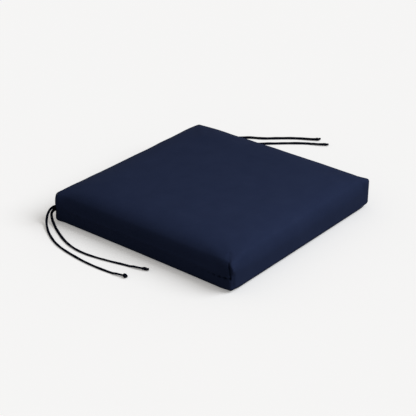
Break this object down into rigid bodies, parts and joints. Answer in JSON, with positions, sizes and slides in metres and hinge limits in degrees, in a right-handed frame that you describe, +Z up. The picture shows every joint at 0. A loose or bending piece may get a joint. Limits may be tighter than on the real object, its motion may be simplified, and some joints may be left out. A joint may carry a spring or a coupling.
{
  "type": "chair cushion",
  "caption": "Square boxed chair cushion in plain dark woven cloth, with knotted ties at its back corners.",
  "frame": {"origin": "middle of the cushion's underside, on the surface it lies on", "axes": "+Z up through the thickness, +Y towards the back edge with the ties, -Y towards the folded front edge"},
  "size_m": [0.7031, 0.4342, 0.0702],
  "materials": {
    "cover_cloth": "plain woven navy canvas, matt",
    "tie_cloth": "folded strap of the same navy cloth"
  },
  "bodies": {
    "root": {"cushion": "cover_cloth", "tie_left_outer": "tie_cloth", "tie_left_inner": "tie_cloth", "tie_right_outer": "tie_cloth", "tie_right_inner": "tie_cloth", "knot_left_outer": "tie_cloth", "knot_left_inner": "tie_cloth", "knot_right_outer": "tie_cloth", "knot_right_inner": "tie_cloth"}
  },
  "joints": []
}
